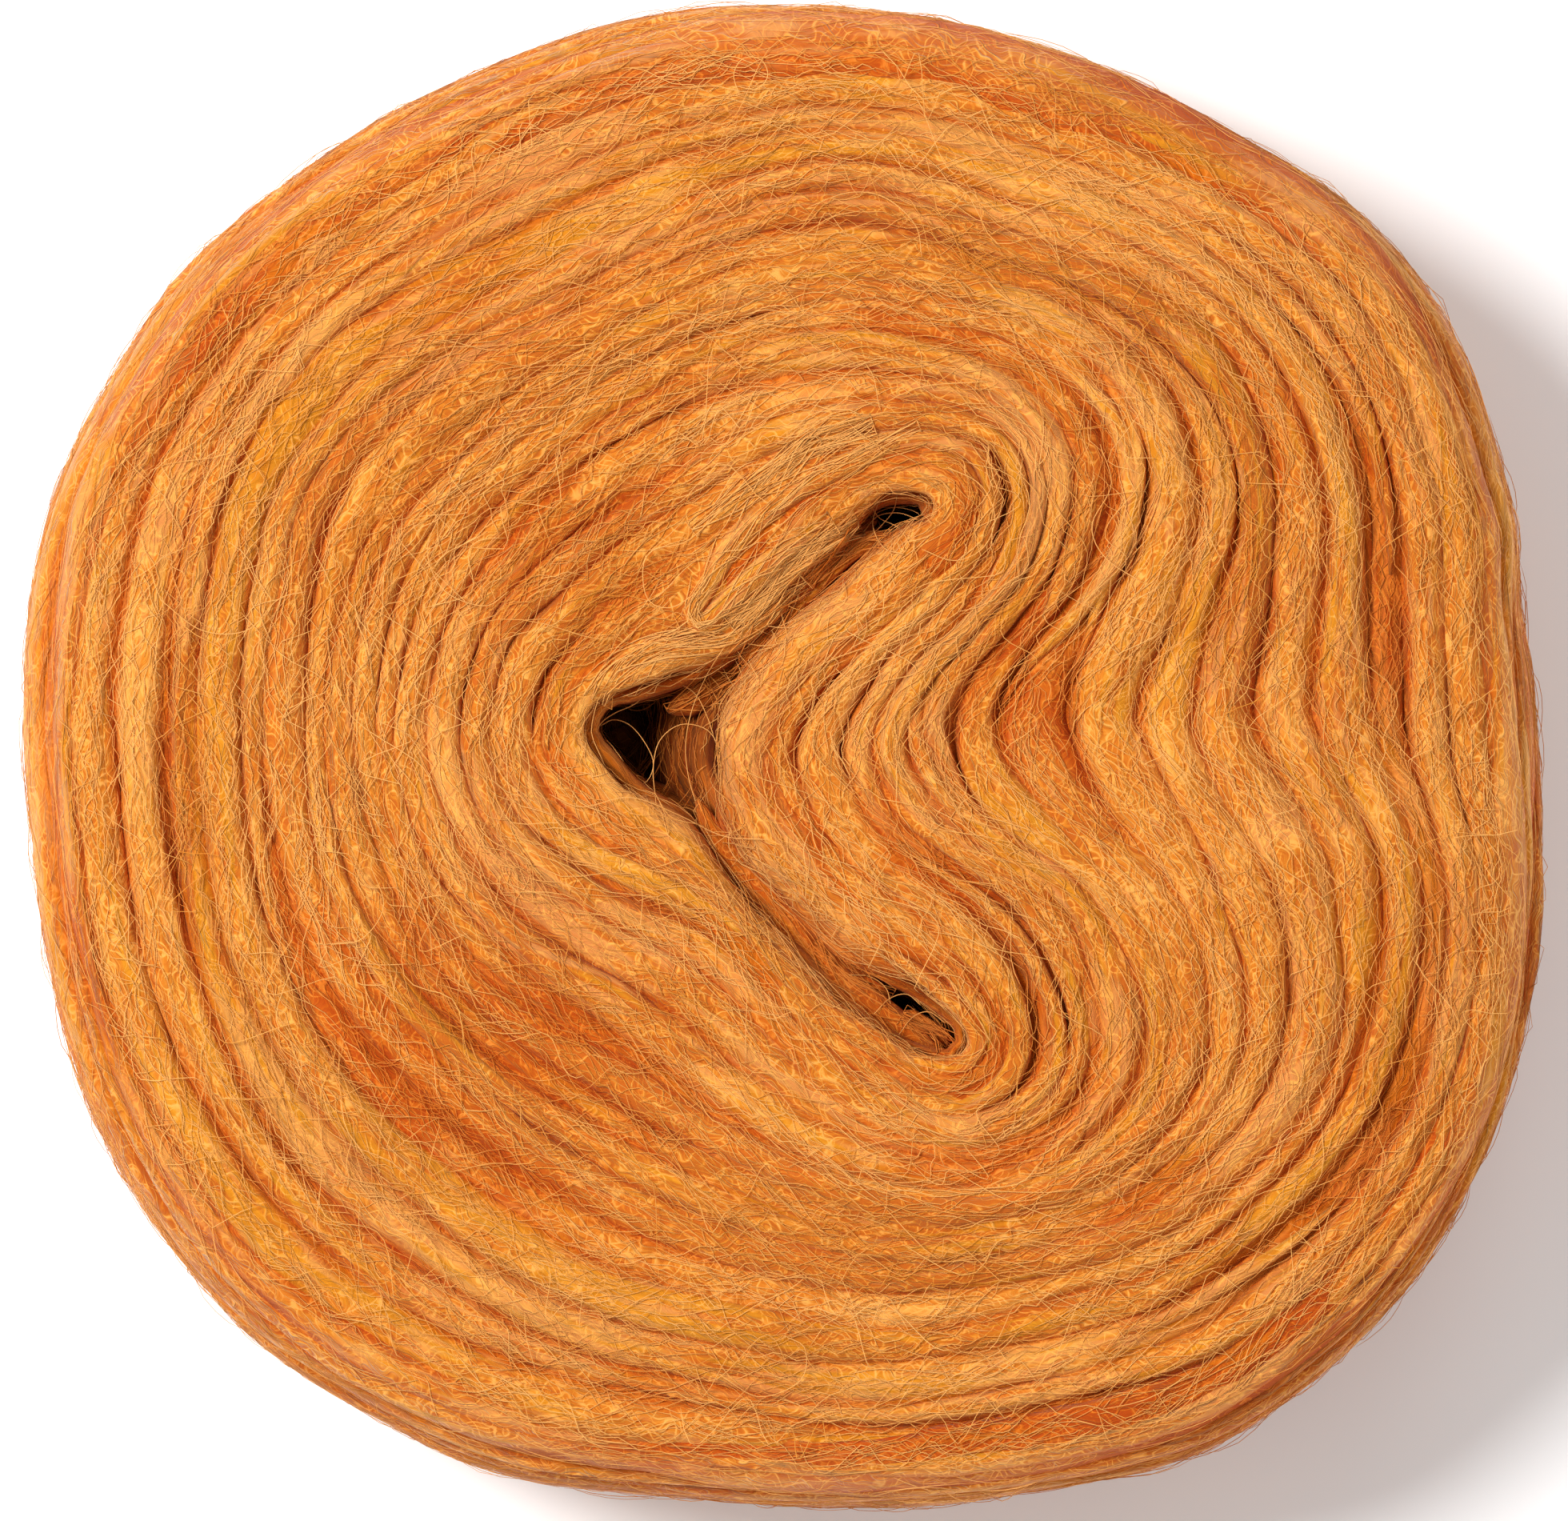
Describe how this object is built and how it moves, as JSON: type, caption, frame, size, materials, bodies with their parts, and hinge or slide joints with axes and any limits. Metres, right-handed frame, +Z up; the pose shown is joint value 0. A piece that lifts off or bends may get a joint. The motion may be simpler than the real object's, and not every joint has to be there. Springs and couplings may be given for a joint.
{
  "type": "yarn cake",
  "caption": "Flat round cake of unspun orange wool roving, wound without a core, its middle collapsed into a folded three-lobed slit.",
  "frame": {"origin": "under the middle of the outline, on the flat base", "axes": "+Z up through the thickness of the cake, +X across its width to the side that the fold is pushed in from, +Y across its depth; seen from +Z the fold's open corner points to -X"},
  "size_m": [0.15, 0.1482, 0.045],
  "materials": {
    "orange_roving": "fuzzy heathered unspun wool"
  },
  "bodies": {
    "root": {"wound_cake": "orange_roving"}
  },
  "joints": []
}
